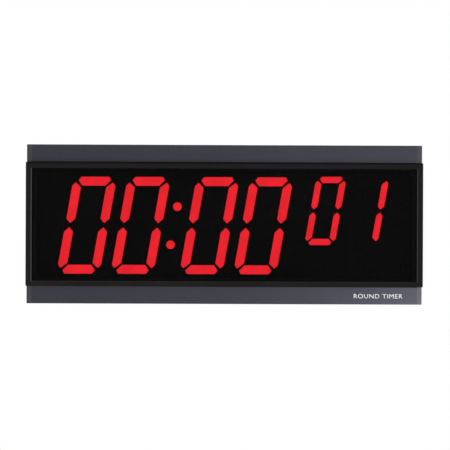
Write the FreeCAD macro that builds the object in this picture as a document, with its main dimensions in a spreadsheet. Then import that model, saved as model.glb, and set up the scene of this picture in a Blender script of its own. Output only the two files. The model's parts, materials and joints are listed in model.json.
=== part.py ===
import FreeCAD, Part
import math
import os
import Sketcher

# Wall-mounted interval timer for a gym: two aluminium rails, a black bezel with
# a dark window, six seven-segment digits and a colon behind it, controls in a
# pan in the underside, and a steel wall plate that the case hooks over.
#
# Frame: millimetres, +X right as seen from the front, front towards -Y, +Z up.
# The origin is the centre of the wall plate, in the plane of the wall.
# Names ending in _x, _y or _z are places along that axis.

V = FreeCAD.Vector
ROT = FreeCAD.Rotation
SIDES = (1, -1)
doc = FreeCAD.newDocument("IntervalTimer")
sheet = doc.addObject("Spreadsheet::Sheet", "Dims")
sheet.set("A1", "name")
sheet.set("B1", "millimetres")
sheet_row = [1]


class Size:
    """A size: its number now, and the sheet expression that gives it."""

    def __init__(self, num, expr):
        self.num = float(num)
        self.expr = expr

    def __add__(self, other):
        other = as_size(other)
        return Size(self.num + other.num, "(%s + %s)" % (self.expr, other.expr))

    def __radd__(self, other):
        return as_size(other) + self

    def __sub__(self, other):
        other = as_size(other)
        return Size(self.num - other.num, "(%s - %s)" % (self.expr, other.expr))

    def __rsub__(self, other):
        return as_size(other) - self

    def __mul__(self, other):
        other = as_size(other)
        return Size(self.num * other.num, "(%s * %s)" % (self.expr, other.expr))

    def __truediv__(self, other):
        other = as_size(other)
        return Size(self.num / other.num, "(%s / %s)" % (self.expr, other.expr))

    def __neg__(self):
        return Size(-self.num, "(0 - %s)" % self.expr)


def as_size(x):
    if isinstance(x, Size):
        return x
    return Size(x, "(%.6f)" % x if x < 0 else "%.6f" % x)


def dim(alias, value):
    """One driving dimension, in the sheet."""
    sheet_row[0] += 1
    row = sheet_row[0]
    sheet.set("A%d" % row, alias)
    sheet.set("B%d" % row, "%g" % value)
    sheet.setAlias("B%d" % row, alias)
    return Size(value, "Dims." + alias)


def bind(obj, path, x):
    """Ties a property to its expression; a plain number is left unbound."""
    if isinstance(x, Size):
        obj.setExpression(path, x.expr)


def place(obj, x, y, z, rot=None):
    base = V(as_size(x).num, as_size(y).num, as_size(z).num)
    obj.Placement = FreeCAD.Placement(base, rot or ROT())
    bind(obj, "Placement.Base.x", x)
    bind(obj, "Placement.Base.y", y)
    bind(obj, "Placement.Base.z", z)
    return obj


# -------------------------------------------------------- driving dimensions
case_width = dim("case_width", 410)
case_height = dim("case_height", 165)
case_depth = dim("case_depth", 41)
back_gap = dim("back_gap", 1)
rail_height = dim("rail_height", 18)
rail_skin = dim("rail_skin", 2)
cap_face = dim("cap_face", 5)
cap_thickness = dim("cap_thickness", 2.5)
web_thickness = dim("web_thickness", 1.5)
edge_radius = dim("edge_radius", 1.0)
bezel_width = dim("bezel_width", 412)
bezel_height = dim("bezel_height", 128.8)
bezel_front = dim("bezel_front", 44.5)
lip_side = dim("bezel_lip_side", 6.3)
lip_top = dim("bezel_lip_top", 6.5)
lip_bottom = dim("bezel_lip_bottom", 5.5)
lip_thickness = dim("bezel_lip_thickness", 1.2)
lens_thickness = dim("lens_thickness", 2)
mask_thickness = dim("mask_thickness", 0.6)
light_box_back = dim("light_box_back", 26)
mask_front = dim("mask_front", 38.8)
diffuser_thickness = dim("diffuser_thickness", 2.4)
board_thickness = dim("board_thickness", 1.6)
digit_height = dim("digit_height", 101.6)
small_ratio = dim("small_digit_ratio", 0.705)
slant = dim("digit_slant", 0.1763)
digit_z = dim("digit_level", -1.2)
small_digit_z = dim("small_digit_level", 14.5)
minutes_tens_x = dim("minutes_tens_at", -142.8)
minutes_ones_x = dim("minutes_ones_at", -86.9)
seconds_tens_x = dim("seconds_tens_at", -15.4)
seconds_ones_x = dim("seconds_ones_at", 40.5)
round_tens_x = dim("round_tens_at", 105.0)
round_ones_x = dim("round_ones_at", 149.2)
colon_x = dim("colon_at", -52.25)
colon_z = dim("colon_level", -1.4)
colon_half_pitch = dim("colon_half_pitch", 19.8)
dot_radius = dim("colon_dot_radius", 4.55)
cover_thickness = dim("cover_thickness", 2)
recess_width = dim("recess_width", 204)
recess_depth = dim("recess_depth", 6)
recess_top_z = dim("recess_top", 49)
recess_low_z = dim("recess_bottom", -55)
plate_width = dim("plate_width", 160)
plate_height = dim("plate_height", 92)
plate_thickness = dim("plate_thickness", 1.5)
plate_pitch_x = dim("plate_hole_pitch_across", 140)
plate_pitch_z = dim("plate_hole_pitch_up", 76)
plate_hole_radius = dim("plate_hole_radius", 2.5)
hook_x = dim("hook_offset", 45)
hook_z = dim("hook_level", 20)
hook_width = dim("hook_width", 12)
hook_lip = dim("hook_lip", 5)
slot_height = dim("hook_slot_height", 8.5)
speaker_x = dim("speaker_at", -150)
screw_radius = dim("screw_radius", 1.25)
screw_hole = dim("screw_clearance_radius", 1.5)
pilot_radius = dim("screw_pilot_radius", 1.3)
head_radius = dim("screw_head_radius", 2.4)
head_height = dim("screw_head_height", 1.1)
counterbore = dim("counterbore_radius", 2.6)
tray_y = dim("tray_centre", -23.75)
button_radius = dim("button_radius", 4.3)
start_radius = dim("start_button_radius", 5.3)
running_clearance = dim("running_clearance", 0.07)
mode_x = dim("mode_button_at", 30)
up_x = dim("up_button_at", 48)
down_x = dim("down_button_at", 66)
start_x = dim("start_button_at", 88)
volume_x = dim("volume_at", 112)
rocker_x = dim("rocker_at", 140)
inlet_x = dim("inlet_at", 160)
rocker_tilt = dim("rocker_tilt", 9)
ribbon_thickness = dim("ribbon_thickness", 0.9)
lead_radius = dim("lead_radius", 0.7)
doc.recompute()

# ------------------------------------------------------------- shared places
half_w = case_width / 2
half_h = case_height / 2
front_y = -case_depth                       # front face of the rails
back_y = -back_gap                          # back of the case
rail_edge_z = half_h - rail_height          # where the rails meet the bezel
rail_end_x = half_w - cap_face
inner_z = half_h - rail_skin                # inner face of the rails' outer walls
inner_y = front_y + rail_skin               # inner face of the rails' front walls
cover_in_y = back_y - cover_thickness       # inner face of the rear cover
bezel_x = bezel_width / 2
bezel_z = bezel_height / 2
bezel_y = -bezel_front                      # front of the bezel
lip_y = bezel_y + lip_thickness             # back of the bezel lip, front of the lens
lens_back_y = lip_y + lens_thickness
mask_y = -mask_front                        # front of the mask
mask_back_y = mask_y + mask_thickness       # also the front of the light boxes
board_y = -light_box_back                   # front of the display board
board_back_y = board_y + board_thickness
under_z = -half_h                           # plane of the underside
control_low_z = under_z + 11.3              # underside of the control board
control_top_z = control_low_z + board_thickness

nodes = []                                  # (label, object) of every exported piece
features = []                               # (feature, feature before it, grows)


def node(obj, label):
    obj.Label = label
    nodes.append((label, obj))
    return obj


# ------------------------------------------------------------------- helpers
serial = [0]


def fresh(stem):
    serial[0] += 1
    return "%s_%d" % (stem, serial[0])


def about(centre, half):
    """The two ends of a span given by its centre and half length."""
    return centre - half, centre + half


def rect(x0, x1, y0, y1):
    return [(x0, y0), (x1, y0), (x1, y1), (x0, y1)]


def flat(point):
    return V(as_size(point[0]).num, as_size(point[1]).num, 0)


class Drawing:
    """Geometry for one sketch, every point pinned by a named constraint."""

    def __init__(self):
        self.geometry = []
        self.constraints = []
        self.named = []

    def measure(self, name, value, *args):
        self.named.append((len(self.constraints), name, value))
        self.constraints.append(Sketcher.Constraint(*args, as_size(value).num))

    def pin(self, index, pos, point, tag=""):
        """Fixes a point by its distance from each axis, or on the axis itself."""
        for axis, kind, line, value in (("x", "DistanceX", -2, point[0]),
                                        ("y", "DistanceY", -1, point[1])):
            if abs(as_size(value).num) < 1e-9:
                on_axis = Sketcher.Constraint("PointOnObject", index, pos, line)
                self.constraints.append(on_axis)
            else:
                self.measure("%s%d%s" % (axis, index, tag), value, kind, -1, 1, index, pos)

    def chain(self, points, closed=True):
        first = len(self.geometry)
        ends = points[1:] + (points[:1] if closed else [])
        count = len(ends)
        for a, b in zip(points, ends):
            self.geometry.append(Part.LineSegment(flat(a), flat(b)))
        for i in range(count if closed else count - 1):
            following = first + (i + 1) % count
            joint = Sketcher.Constraint("Coincident", first + i, 2, following, 1)
            self.constraints.append(joint)
        for i in range(count):
            self.pin(first + i, 1, points[i])
        if not closed:
            self.pin(first + count - 1, 2, points[-1], "e")

    def circle(self, x, y, radius):
        index = len(self.geometry)
        self.geometry.append(Part.Circle(flat((x, y)), V(0, 0, 1), as_size(radius).num))
        self.pin(index, 3, (x, y))
        self.measure("r%d" % index, radius, "Radius", index)

    def apply(self, sketch):
        sketch.addGeometry(self.geometry, False)
        sketch.addConstraint(self.constraints)
        for index, name, value in self.named:
            sketch.renameConstraint(index, name)
            bind(sketch, "Constraints." + name, value)


def draw(sketch, loops, circles):
    drawing = Drawing()
    for loop in loops:
        drawing.chain(loop)
    for x, y, radius in circles:
        drawing.circle(x, y, radius)
    drawing.apply(sketch)


class Piece:
    """A PartDesign body; pads and pockets run from low to high across a plane."""

    def __init__(self, name):
        self.name = name
        self.body = doc.addObject("PartDesign::Body", name + "_body")
        self.last = None

    def sketch(self, plane, level, loops, circles):
        sk = self.body.newObject("Sketcher::SketchObject", fresh(self.name + "_sketch"))
        for feature in self.body.Origin.OriginFeatures:
            if feature.Role == plane.upper() + "_Plane":
                sk.AttachmentSupport = [(feature, "")]
        sk.MapMode = "FlatFace"
        # the XZ plane faces -Y, so its offset is the level reversed
        offset = -as_size(level) if plane == "xz" else level
        sk.AttachmentOffset = FreeCAD.Placement(V(0, 0, as_size(offset).num), ROT())
        bind(sk, "AttachmentOffset.Base.z", offset)
        draw(sk, loops, circles)
        return sk

    def feature(self, kind, sketch, grows):
        added = self.body.newObject("PartDesign::" + kind, fresh(self.name + "_" + kind.lower()))
        added.Profile = sketch
        features.append((added, self.last, grows))
        self.last = added
        return added

    def extrude(self, kind, sketch, length, grows):
        added = self.feature(kind, sketch, grows)
        added.Length = length.num
        bind(added, "Length", length)
        added.Refine = True

    def pad(self, plane, low, high, loops=(), circles=()):
        sk = self.sketch(plane, high if plane == "xz" else low, loops, circles)
        self.extrude("Pad", sk, as_size(high) - low, True)

    def pocket(self, plane, low, high, loops=(), circles=()):
        sk = self.sketch(plane, low if plane == "xz" else high, loops, circles)
        self.extrude("Pocket", sk, as_size(high) - low, False)

    def revolve(self, plane, loop):
        """A full turn about the sketch's vertical axis; points are (radius, along)."""
        sk = self.sketch(plane, 0, [loop], [])
        added = self.feature("Revolution", sk, True)
        added.ReferenceAxis = (sk, ["V_Axis"])
        added.Angle = 360

    def dress(self, kind, amount, pick):
        """A fillet or chamfer on the picked edges."""
        doc.recompute()
        base = self.last
        names = ["Edge%d" % (i + 1) for i, e in enumerate(base.Shape.Edges) if pick(e)]
        if not names:
            raise RuntimeError("no edge found for " + kind + " on " + self.name)
        added = self.body.newObject("PartDesign::" + kind, fresh(self.name + "_" + kind.lower()))
        added.Base = (base, names)
        prop = "Radius" if kind == "Fillet" else "Size"
        setattr(added, prop, as_size(amount).num)
        bind(added, prop, amount)
        self.last = added

    def close(self, x=0, y=0, z=0):
        self.body.Tip = self.last
        return place(self.body, x, y, z)

    def done(self, x=0, y=0, z=0):
        return node(self.close(x, y, z), self.name)


def along(axis, **at):
    """Picks straight edges parallel to an axis that pass through a place."""
    way = {"x": V(1, 0, 0), "y": V(0, 1, 0), "z": V(0, 0, 1)}[axis]

    def pick(edge):
        if not isinstance(edge.Curve, Part.Line) or len(edge.Vertexes) != 2:
            return False
        a = edge.Vertexes[0].Point
        b = edge.Vertexes[1].Point
        if (b - a).cross(way).Length > 1e-6:
            return False
        middle = (a + b) * 0.5
        for key, wanted in at.items():
            values = wanted if isinstance(wanted, list) else [wanted]
            if not any(abs(getattr(middle, key) - as_size(w).num) < 1e-4 for w in values):
                return False
        return True

    return pick


def either(*picks):
    return lambda edge: any(pick(edge) for pick in picks)


def box(x0, x1, y0, y1, z0, z1):
    solid = doc.addObject("Part::Box", fresh("box"))
    for prop, low, high in (("Length", x0, x1), ("Width", y0, y1), ("Height", z0, z1)):
        span = as_size(high) - low
        setattr(solid, prop, span.num)
        bind(solid, prop, span)
    return place(solid, x0, y0, z0)


AXES = {                                    # turns +Z to the named direction
    "z": ROT(), "-z": ROT(V(1, 0, 0), 180),
    "x": ROT(V(0, 1, 0), 90), "-x": ROT(V(0, 1, 0), -90),
    "y": ROT(V(1, 0, 0), -90), "-y": ROT(V(1, 0, 0), 90),
}


def cyl(radius, length, x, y, z, way="z"):
    solid = doc.addObject("Part::Cylinder", fresh("cylinder"))
    solid.Radius = as_size(radius).num
    solid.Height = as_size(length).num
    bind(solid, "Radius", radius)
    bind(solid, "Height", length)
    return place(solid, x, y, z, AXES[way])


def fuse(*parts):
    joined = doc.addObject("Part::MultiFuse", fresh("fuse"))
    joined.Shapes = list(parts)
    joined.Refine = True
    return joined


def cut(base, *tools):
    result = doc.addObject("Part::Cut", fresh("cut"))
    result.Base = base
    result.Tool = tools[0] if len(tools) == 1 else fuse(*tools)
    result.Refine = True
    return result


def group(*parts):
    compound = doc.addObject("Part::Compound", fresh("group"))
    compound.Links = list(parts)
    return compound


def copy(source, x, y, z, way="z"):
    link = doc.addObject("App::Link", fresh("copy"))
    link.LinkedObject = source
    return place(link, x, y, z, AXES[way])


def outline(name, loops, circles=()):
    """A sketch in the X-Z plane, facing the front."""
    sk = doc.addObject("Sketcher::SketchObject", name)
    sk.Placement = FreeCAD.Placement(V(0, 0, 0), ROT(V(1, 0, 0), 90))
    draw(sk, loops, circles)
    return sk


def slab(sketch, x, y0, y1, z):
    """The outline extruded from y1 forward to y0."""
    solid = doc.addObject("Part::Extrusion", fresh("slab"))
    solid.Base = sketch
    solid.DirMode = "Normal"
    solid.Solid = True
    run = y1 - y0
    solid.LengthFwd = run.num
    bind(solid, "LengthFwd", run)
    return place(solid, x, y1, z)


# --------------------------------------------------------------------- rails
port_y, port_z = inner_y + 2.05, inner_z - 2.05     # screw port in the front corner
channel_y, channel_z = -7, 75.5                     # screw channel at the back


def rail_profile(side):
    """Section of a rail as (y, z); side is 1 for the top rail, -1 for the bottom."""
    web = web_thickness
    web_back = -11                          # upright wall ahead of the screw channel
    web_front = web_back - web
    channel_hi, channel_lo = channel_z + pilot_radius, channel_z - pilot_radius
    boss_y, boss_z = inner_y + 4.3, inner_z - 4.2
    shelf_hi = rail_edge_z + 5
    shelf_lo = shelf_hi - web
    bezel_flange = inner_y + 2.7
    slot_front = board_y - 0.05             # board slot, between two flanges
    slot_back = board_back_y + 0.05
    points = [
        (front_y, rail_edge_z), (front_y, half_h), (back_y, half_h), (back_y, inner_z),
        (web_back, inner_z), (web_back, channel_hi + web), (cover_in_y, channel_hi + web),
        (cover_in_y, channel_hi), (web_back, channel_hi), (web_back, channel_lo),
        (cover_in_y, channel_lo), (cover_in_y, channel_lo - web),
        (web_front, channel_lo - web), (web_front, inner_z),
        (boss_y, inner_z), (boss_y, boss_z), (inner_y, boss_z), (inner_y, shelf_hi),
        (slot_back + web, shelf_hi), (slot_back + web, rail_edge_z),
        (slot_back, rail_edge_z), (slot_back, shelf_lo),
        (slot_front, shelf_lo), (slot_front, rail_edge_z),
        (slot_front - web, rail_edge_z), (slot_front - web, shelf_lo),
        (bezel_flange + web, shelf_lo), (bezel_flange + web, rail_edge_z),
        (bezel_flange, rail_edge_z), (bezel_flange, shelf_lo),
        (inner_y, shelf_lo), (inner_y, rail_edge_z),
    ]
    return [(y, z * side) for y, z in points]


def rail(name, side):
    piece = Piece(name)
    piece.pad("yz", -rail_end_x, rail_end_x, [rail_profile(side)],
              [(port_y, port_z * side, pilot_radius)])
    outer_z = half_h * side
    piece.dress("Fillet", edge_radius,
                either(along("x", y=front_y, z=outer_z), along("x", y=back_y, z=outer_z)))
    piece.dress("Fillet", edge_radius * 0.6, along("x", y=front_y, z=rail_edge_z * side))
    return piece


rail("top_rail", 1).done()

# the bottom rail also takes the control tray
tray_x0, tray_x1 = 14, 170
tray_y0, tray_y1 = about(tray_y, 9.25)
TRAY_SCREWS = [(8.5, -29), (8.5, -18), (175.5, -29), (175.5, -18)]     # x, y
tray_bore = head_height + 0.1

bottom_rail = rail("bottom_rail", -1)
bottom_rail.pocket("xy", under_z, under_z + rail_skin,
                   [rect(tray_x0, tray_x1, tray_y0, tray_y1)],
                   [(x, y, screw_hole) for x, y in TRAY_SCREWS])
bottom_rail.pocket("xy", under_z, under_z + tray_bore, [],
                   [(x, y, counterbore) for x, y in TRAY_SCREWS])
bottom_rail.done()

# ------------------------------------------------------------------ end caps
CAP_HOLES = [(port_y, port_z), (port_y, -port_z),
             (channel_y, channel_z), (channel_y, -channel_z)]          # y, z
cap_bore = head_height + 0.2


def end_cap(name, side):
    def span(a, b):
        return (a, b) if side > 0 else (-b, -a)

    piece = Piece(name)
    piece.pad("yz", *span(rail_end_x, half_w), [rect(front_y, back_y, -half_h, half_h)])
    far = half_w * side
    ends = [half_h, -half_h]
    piece.dress("Fillet", edge_radius, either(
        along("z", x=far, y=front_y), along("z", x=far, y=back_y),
        along("y", x=far, z=ends),
        along("x", y=front_y, z=ends), along("x", y=back_y, z=ends)))
    piece.pocket("yz", *span(rail_end_x, rail_end_x + cap_thickness),
                 [rect(inner_y, back_y + 3, -inner_z, inner_z)])
    piece.pocket("yz", *span(rail_end_x + cap_thickness - 0.5, half_w), [],
                 [(y, z, screw_hole) for y, z in CAP_HOLES])
    piece.pocket("yz", *span(half_w - cap_bore, half_w), [],
                 [(y, z, counterbore) for y, z in CAP_HOLES])
    piece.done()


end_cap("left_end_cap", -1)
end_cap("right_end_cap", 1)

# ----------------------------------------------------- bezel, lens and gasket
window_x = bezel_x - lip_side               # half width of the window
window_z1 = bezel_z - lip_top
window_z0 = -bezel_z + lip_bottom
lens_x = window_x + 2.3                     # half width of the lens
lens_z0, lens_z1 = window_z0 - 1.8, window_z1 + 2.2
lens_gap = 0.3
bezel_round = 1.2                           # corners, seen from the front

bezel = Piece("front_bezel")
bezel.pad("xz", bezel_y, front_y, [rect(-bezel_x, bezel_x, -bezel_z, bezel_z)])
bezel.dress("Fillet", bezel_round, along("y", x=[bezel_x, -bezel_x], z=[bezel_z, -bezel_z]))
bezel.pocket("xz", bezel_y, front_y, [rect(-window_x, window_x, window_z0, window_z1)])
bezel.pocket("xz", lip_y, front_y, [rect(-lens_x - lens_gap, lens_x + lens_gap,
                                         lens_z0 - lens_gap, lens_z1 + lens_gap)])
# tongues, as (y, z), that hook into the grooves of the two rails
neck_z0, neck_z1 = rail_edge_z - 3, rail_edge_z - 0.2
tongue_y0, tongue_y1 = inner_y + 0.1, inner_y + 2.5
tongue_z = rail_edge_z + 2.9
tongue = [(front_y, neck_z0), (front_y, neck_z1), (tongue_y0, neck_z1),
          (tongue_y0, tongue_z), (tongue_y1, tongue_z), (tongue_y1, neck_z0)]
bezel.pad("yz", -rail_end_x + 0.5, rail_end_x - 0.5, [tongue, [(y, -z) for y, z in tongue]])
bezel.dress("Chamfer", 1.0, either(along("x", y=bezel_y, z=[window_z0, window_z1]),
                                   along("z", y=bezel_y, x=[window_x, -window_x])))


def outer_rim(edge):
    """Edges round the outside of the bezel's front face, corners included."""
    bounds = edge.BoundBox
    reach_x = max(abs(bounds.XMin), abs(bounds.XMax))
    reach_z = max(abs(bounds.ZMin), abs(bounds.ZMax))
    on_front = all(abs(y - bezel_y.num) < 1e-4 for y in (bounds.YMin, bounds.YMax))
    margin = bezel_round + 0.1
    return on_front and (reach_x > bezel_x.num - margin or reach_z > bezel_z.num - margin)


bezel.dress("Fillet", 0.7, outer_rim)
bezel.done()

lens = Piece("lens")
lens.pad("xz", lip_y, lens_back_y, [rect(-lens_x, lens_x, lens_z0, lens_z1)])
lens.dress("Fillet", 1.5, along("y", x=[lens_x, -lens_x], z=[lens_z0, lens_z1]))
lens.done()

gasket_x, gasket_z, gasket_width = 198.5, 60, 4     # half sizes, width of its sides
gasket = Piece("lens_gasket")
gasket.pad("xz", lens_back_y, mask_y,
           [rect(*about(0, gasket_x), *about(0, gasket_z)),
            rect(*about(0, gasket_x - gasket_width), *about(0, gasket_z - gasket_width))])
gasket.done()


# -------------------------------------------------------- digits and colon
def mirrored(points, across, up):
    return [(u * across, v * up) for u, v in points]


# Outlines for a digit OUTLINE_HEIGHT tall, before it leans: (across, up) from
# the digit's centre.
OUTLINE_HEIGHT = 101.6
SEGMENT_A = [(-14.4, 50.4), (-16.9, 46.7), (-12.0, 41.0), (12.0, 41.0), (16.9, 46.7), (14.4, 50.4)]
SEGMENT_F = [(-19.3, 44.5), (-22.4, 41.0), (-22.4, 6.8), (-17.7, 2.1), (-13.0, 6.8), (-13.0, 39.2)]
SEGMENT_G = [(-15.6, 0.0), (-11.3, 4.7), (11.3, 4.7), (15.6, 0.0), (11.3, -4.7), (-11.3, -4.7)]
SEGMENTS = [
    SEGMENT_A,
    mirrored(SEGMENT_F, -1, 1),             # b
    mirrored(SEGMENT_F, -1, -1),            # c
    mirrored(SEGMENT_A, 1, -1),             # d
    mirrored(SEGMENT_F, 1, -1),             # e
    SEGMENT_F,
    SEGMENT_G,
]
BLOCK = rect(-26.4, 26.4, -54.2, 54.2)
# centres of the LED chips, two under each segment
CHIPS = [(-6.5, 45.8), (6.5, 45.8), (-6.5, -45.8), (6.5, -45.8), (-6.0, 0.0), (6.0, 0.0)]
CHIPS += [(u, v) for u in (-17.7, 17.7) for v in (14.0, 31.0, -14.0, -31.0)]
DIGIT_SCREWS = [(0, 25.0), (0, -25.0)]
led_half_x, led_half_z, led_height = 1.6, 1.3, 1
box_pilot_depth = 9


def leaning(points, ratio):
    """Digit points scaled to size and sheared to the right."""
    result = []
    for u, v in points:
        up = digit_height * (v / OUTLINE_HEIGHT) * ratio
        result.append((digit_height * (u / OUTLINE_HEIGHT) * ratio + slant * up, up))
    return result


digit_kinds = {}
for kind, ratio in (("large", 1.0), ("small", small_ratio)):
    chips = [rect(*about(x, led_half_x), *about(z, led_half_z)) for x, z in leaning(CHIPS, ratio)]
    digit_kinds[kind] = (
        outline(kind + "_segments", [leaning(points, ratio) for points in SEGMENTS]),
        outline(kind + "_block", [leaning(BLOCK, ratio)]),
        outline(kind + "_chips", chips),
        leaning(DIGIT_SCREWS, ratio),
    )

DIGITS = [
    ("minutes_tens", "large", minutes_tens_x, digit_z),
    ("minutes_ones", "large", minutes_ones_x, digit_z),
    ("seconds_tens", "large", seconds_tens_x, digit_z),
    ("seconds_ones", "large", seconds_ones_x, digit_z),
    ("round_tens", "small", round_tens_x, small_digit_z),
    ("round_ones", "small", round_ones_x, small_digit_z),
]
mask_windows = []
led_parts = []
board_screws = []                           # (x, z)
for name, kind, x, z in DIGITS:
    segments, block, chips, screws = digit_kinds[kind]
    cavity = slab(segments, x, mask_y - 1, board_y + 1, z)
    mask_windows.append(cavity)
    spots = [(x + across, z + up) for across, up in screws]
    board_screws += spots
    pilots = [cyl(pilot_radius, box_pilot_depth, px, board_y, pz, "-y") for px, pz in spots]
    node(cut(slab(block, x, mask_back_y, board_y, z), group(cavity, *pilots)),
         name + "_light_box")
    node(slab(segments, x, mask_y, mask_y + diffuser_thickness, z), name + "_segments")
    led_parts.append(slab(chips, x, board_y - led_height, board_y, z))

dot_shift = slant * colon_half_pitch
colon_half_x, colon_half_z = 7.0, 28
colon_lean = slant * colon_half_z
colon_block = outline("colon_block", [[
    (-colon_half_x - colon_lean, -colon_half_z), (colon_half_x - colon_lean, -colon_half_z),
    (colon_half_x + colon_lean, colon_half_z), (-colon_half_x + colon_lean, colon_half_z)]])
colon_dots = outline("colon_outline", [], [(dot_shift, colon_half_pitch, dot_radius),
                                           (-dot_shift, -colon_half_pitch, dot_radius)])
colon_cavity = slab(colon_dots, colon_x, mask_y - 1, board_y + 1, colon_z)
mask_windows.append(colon_cavity)
board_screws.append((colon_x, colon_z))
colon_pilot = cyl(pilot_radius, box_pilot_depth, colon_x, board_y, colon_z, "-y")
node(cut(slab(colon_block, colon_x, mask_back_y, board_y, colon_z),
         group(colon_cavity, colon_pilot)), "colon_light_box")
node(slab(colon_dots, colon_x, mask_y, mask_y + diffuser_thickness, colon_z), "colon_dots")
for side in SIDES:
    led_parts.append(box(*about(colon_x + dot_shift * side, led_half_x),
                         board_y - led_height, board_y,
                         *about(colon_z + colon_half_pitch * side, led_half_z)))
node(group(*led_parts), "led_chips")

receiver_x, receiver_z = 187, -48
board_half_x = 199
mask_windows.append(cyl(3.2, 4, receiver_x, mask_y - 1, receiver_z, "y"))
node(cut(box(-board_half_x, board_half_x, mask_y, mask_back_y, -61.2, 61.2),
         group(*mask_windows)), "display_mask")

# ------------------------------------------------------------ display board
board = Piece("display_board")
board.pad("xz", board_y, board_back_y, [rect(-board_half_x, board_half_x, -66.6, 66.6)])
board.pocket("xz", board_y, board_back_y, [], [(x, z, screw_hole) for x, z in board_screws])
board.done()


def board_chip(name, half_x, half_z, thickness, legs):
    """A chip on the back of the display board, legs touching the board."""
    piece = Piece(name)
    body_y = board_back_y + 0.15
    piece.pad("xz", body_y, body_y + thickness, [rect(-half_x, half_x, -half_z, half_z)])
    piece.pad("xz", board_back_y, board_back_y + 0.6, legs)
    return piece


legs = []
for i in range(9):
    for ends in ((-5.3, -3.55), (3.55, 5.3)):
        legs.append(rect(*ends, *about(-8 + 2.0 * i, 0.35)))
driver = board_chip("driver_chip", 3.75, 9, 2.2, legs).close()
DRIVERS = [(-115, 0), (-34, 0), (13, 0), (127, 14)]        # x, z
node(group(*[copy(driver, x, 0, z) for x, z in DRIVERS]), "driver_chips")

legs = []
for i in range(8):
    width = about(-5.6 + 1.6 * i, 0.3)
    for ends in ((-8.7, -6.8), (6.8, 8.7)):
        legs.append(rect(*ends, *width))
        legs.append(rect(*width, *ends))
board_chip("microcontroller", 7, 7, 1.5, legs).done(73, 0, 14)

capacitor = Piece("capacitor")
capacitor.revolve("xy", [(0, 0), (4.0, 0), (4.0, 2.0), (3.6, 2.4), (4.0, 2.8), (4.0, 10.6),
                         (3.7, 11.0), (0, 11.0)])
can = capacitor.close()
node(group(*[copy(can, 186, board_back_y, z) for z in (34, 22, 10)]), "capacitors")

crystal_x, crystal_z = (67.5, 78.5), (-9.4, -4.6)
crystal = Piece("crystal")
crystal.pad("xz", board_back_y, board_back_y + 3.4, [rect(*crystal_x, *crystal_z)])
crystal.dress("Fillet", 2.2, along("y", x=list(crystal_x), z=list(crystal_z)))
crystal.done()

# power section: regulator lying on the board, finned heat sink on top of it
regulator_x, regulator_z = 180, -34
regulator_top_y = board_back_y + 4.5
regulator_span = about(regulator_x, 5)
regulator_legs = [box(*about(regulator_x + offset, 0.4), board_back_y, board_back_y + 2,
                      regulator_z - 9, regulator_z - 4) for offset in (-2.54, 0, 2.54)]
node(fuse(box(*regulator_span, board_back_y, regulator_top_y, regulator_z - 5, regulator_z + 4),
          box(*regulator_span, board_back_y + 3.2, regulator_top_y,
              regulator_z + 3, regulator_z + 9),
          *regulator_legs), "voltage_regulator")

# section of the heat sink as (x, y): a base with five fins
FINS = 5
fin_pitch, fin_thickness = 5.2, 1.2
sink_half_x, sink_base, fin_root, fin_tip = 11, 4.5, 6.5, 13.5
comb = [(-sink_half_x, sink_base), (sink_half_x, sink_base)]
for i in range(FINS):
    right = sink_half_x - fin_pitch * i
    comb += [(right, fin_tip), (right - fin_thickness, fin_tip)]
    if i < FINS - 1:
        comb += [(right - fin_thickness, fin_root), (right - fin_pitch, fin_root)]
heat_sink = Piece("heat_sink")
heat_sink.pad("xy", -12, 12, [comb])
heat_sink.done(regulator_x, board_back_y, regulator_z)


def header(x, z, half_x, half_z, height):
    """A connector on the back of the display board, with a wider foot."""
    top_y, foot_y = board_back_y + height, board_back_y + 2
    return fuse(box(*about(x, half_x), board_back_y, top_y, *about(z, half_z)),
                box(*about(x, half_x + 0.8), board_back_y, foot_y, *about(z, half_z + 0.8)))


ribbon_x, ribbon_z = 57, -50
ribbon_header_height, control_header_height = 6, 5.6
wire_header_z, wire_header_half_z = -47, 3
speaker_header_x = speaker_x + 13.5
wire_headers = [header(x, wire_header_z, 6, wire_header_half_z, 8)
                for x in (inlet_x, rocker_x, speaker_header_x)]
control_header = fuse(
    box(*about(ribbon_x, 10), -22, -16.5, control_top_z, control_top_z + control_header_height),
    box(*about(ribbon_x, 10.8), -22.6, -16.1, control_top_z, control_top_z + 2))
node(group(header(ribbon_x, ribbon_z, 10, 4, ribbon_header_height), *wire_headers,
           control_header), "board_connectors")

# infrared receiver: body, round lens, three legs, and a step in the top back edge
receiver_legs = [box(*about(receiver_x + offset, 0.25), mask_back_y + 4, board_y,
                     *about(receiver_z, 0.25)) for offset in (-2.55, 0, 2.55)]
node(cut(fuse(box(*about(receiver_x, 3.2), mask_back_y + 0.4, mask_back_y + 4.4,
                  *about(receiver_z, 3.8)),
              cyl(2.4, 1.4, receiver_x, mask_y + 0.1, receiver_z, "y"),
              *receiver_legs),
         box(*about(receiver_x, 4), mask_back_y + 3.6, mask_back_y + 5,
             receiver_z + 2.6, receiver_z + 5)), "ir_receiver")


# --------------------------------------------------------------- case screws
def screw(length):
    """A cross-slotted screw, head up, with the seat of the head at z = 0."""
    body = fuse(cyl(head_radius, head_height, 0, 0, 0),
                cyl(screw_radius, length, 0, 0, -length))
    slot = (head_height - 0.6, head_height + 1)
    return cut(body, box(-1.3, 1.3, -0.3, 0.3, *slot), box(-0.3, 0.3, -1.3, 1.3, *slot))


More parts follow.
